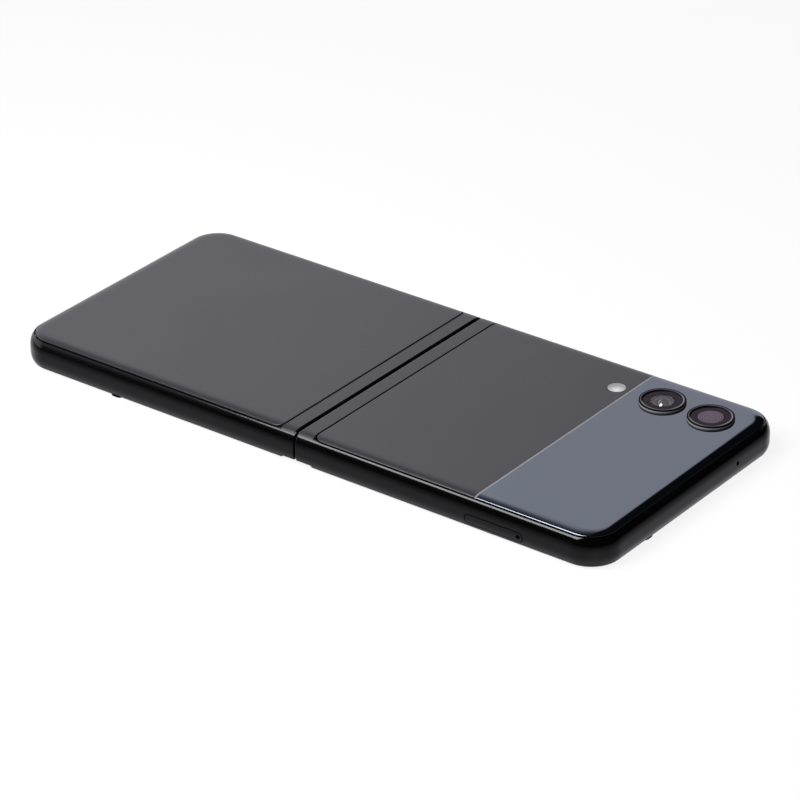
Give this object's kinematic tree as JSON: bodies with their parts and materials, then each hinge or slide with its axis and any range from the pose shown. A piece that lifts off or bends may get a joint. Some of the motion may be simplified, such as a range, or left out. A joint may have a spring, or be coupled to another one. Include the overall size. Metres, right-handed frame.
{
  "type": "foldable smartphone",
  "caption": "Clamshell smartphone with a folding inner display, lying open on its display, with a geared twin-axis hinge, cover window, rear cameras, SIM tray and side keys.",
  "frame": {"origin": "on the surface that the phone lies on, below the middle of the fold and the middle of the width", "axes": "+X from the fold to the camera end, +Y towards the side with the keys, +Z out of the back covers"},
  "size_m": [0.166, 0.0725, 0.0086],
  "materials": {
    "frame_metal": "gloss",
    "satin_glass": "satin",
    "window_glass": "gloss",
    "adhesive": "matt",
    "bezel_plastic": "satin",
    "bumper_rubber": "matt",
    "antenna_plastic": "satin",
    "display": "gloss",
    "plate_steel": "satin",
    "hinge_steel": "satin",
    "screw_steel": "satin",
    "spine_metal": "satin",
    "flex_film": "gloss",
    "gear_brass": "satin",
    "cell_wrap": "satin",
    "coil_copper": "satin",
    "board": "satin",
    "port_steel": "satin",
    "black_plastic": "matt",
    "mic_can": "satin",
    "ring_metal": "gloss",
    "lens_glass": "gloss",
    "led": "gloss",
    "flash_plastic": "gloss",
    "sensor": "gloss"
  },
  "bodies": {
    "lower_half": {"lower_frame": "frame_metal", "lower_back_glass": "satin_glass", "lower_glass_seal": "adhesive", "lower_bezel": "bezel_plastic", "lower_bumpers": "bumper_rubber", "lower_antenna_breaks": "antenna_plastic", "display_lower": "display", "display_plate_lower": "plate_steel", "lower_rotators": "hinge_steel", "lower_battery": "cell_wrap", "charging_coil": "coil_copper", "sub_board": "board", "usb_port": "port_steel", "loudspeaker": "black_plastic", "bottom_mic": "mic_can", "vibration_motor": "port_steel", "lower_bracket": "black_plastic", "lower_screws": "screw_steel"},
    "spine": {"spine_cover": "spine_metal", "hinge_brackets": "hinge_steel", "hinge_screws": "screw_steel", "gear_pins": "hinge_steel", "friction_washers": "hinge_steel", "display_fold": "display", "hinge_flex": "flex_film"},
    "outer_gear_lower": {"drive_gear_lower": "gear_brass"},
    "inner_gear_lower": {"idler_gear_lower": "gear_brass"},
    "inner_gear_upper": {"idler_gear_upper": "gear_brass"},
    "outer_gear_upper": {"drive_gear_upper": "gear_brass"},
    "upper_half": {"upper_frame": "frame_metal", "upper_back_glass": "satin_glass", "window_glass": "window_glass", "upper_glass_seal": "adhesive", "upper_bezel": "bezel_plastic", "upper_bumpers": "bumper_rubber", "upper_antenna_breaks": "antenna_plastic", "display_upper": "display", "display_plate_upper": "plate_steel", "upper_rotators": "hinge_steel", "upper_battery": "cell_wrap", "main_board": "board", "shield_cans": "port_steel", "cover_display": "display", "rear_cameras": "black_plastic", "camera_rings": "ring_metal", "camera_lens_glass": "lens_glass", "flash_led": "led", "flash_lens": "flash_plastic", "front_camera": "black_plastic", "earpiece": "black_plastic", "top_mic": "mic_can", "sim_reader": "port_steel", "key_switches": "black_plastic", "upper_bracket": "black_plastic", "upper_screws": "screw_steel"},
    "tray": {"sim_tray": "frame_metal"},
    "rocker": {"volume_key": "frame_metal"},
    "side_key": {"power_key": "frame_metal", "fingerprint_sensor": "sensor"}
  },
  "joints": [
    {"name": "lower_fold", "type": "hinge", "parent": "lower_half", "child": "spine", "pos_m": [-0.00165, 0, 0.00105], "axis": [0, 1, 0], "range_deg": [0, 90.3], "deforming": ["display_fold", "hinge_flex"]},
    {"name": "upper_fold", "type": "hinge", "parent": "spine", "child": "upper_half", "pos_m": [0.00165, 0, 0.00105], "axis": [0, 1, 0], "range_deg": [0, 90.3]},
    {"name": "outer_gear_lower_spin", "type": "hinge", "parent": "spine", "child": "outer_gear_lower", "pos_m": [-0.00348, 0, 0.00366], "axis": [0, 1, 0], "range_deg": [-160, 160]},
    {"name": "inner_gear_lower_spin", "type": "hinge", "parent": "spine", "child": "inner_gear_lower", "pos_m": [-0.00116, 0, 0.00366], "axis": [0, 1, 0], "range_deg": [-160, 160]},
    {"name": "inner_gear_upper_spin", "type": "hinge", "parent": "spine", "child": "inner_gear_upper", "pos_m": [0.00116, 0, 0.00366], "axis": [0, 1, 0], "range_deg": [-160, 160]},
    {"name": "outer_gear_upper_spin", "type": "hinge", "parent": "spine", "child": "outer_gear_upper", "pos_m": [0.00348, 0, 0.00366], "axis": [0, 1, 0], "range_deg": [-160, 160]},
    {"name": "volume_rock", "type": "hinge", "parent": "upper_half", "child": "rocker", "pos_m": [0.05, 0.0349, 0.00375], "axis": [0, 0, 1], "range_deg": [-1.2, 1.2], "stiffness_Nm_per_rad": 0.25},
    {"name": "power_press", "type": "slide", "parent": "upper_half", "child": "side_key", "axis": [0, -1, 0], "range_m": [0, 0.00025], "stiffness_N_per_m": 2000},
    {"name": "sim_slide", "type": "slide", "parent": "upper_half", "child": "tray", "axis": [0, -1, 0], "range_m": [0, 0.018]}
  ],
  "couplings": [
    {"joint": "upper_fold", "follows": "lower_fold", "ratio": 1},
    {"joint": "outer_gear_lower_spin", "follows": "lower_fold", "ratio": 1.75},
    {"joint": "inner_gear_lower_spin", "follows": "lower_fold", "ratio": -1.75},
    {"joint": "inner_gear_upper_spin", "follows": "lower_fold", "ratio": 1.75},
    {"joint": "outer_gear_upper_spin", "follows": "lower_fold", "ratio": -1.75}
  ]
}
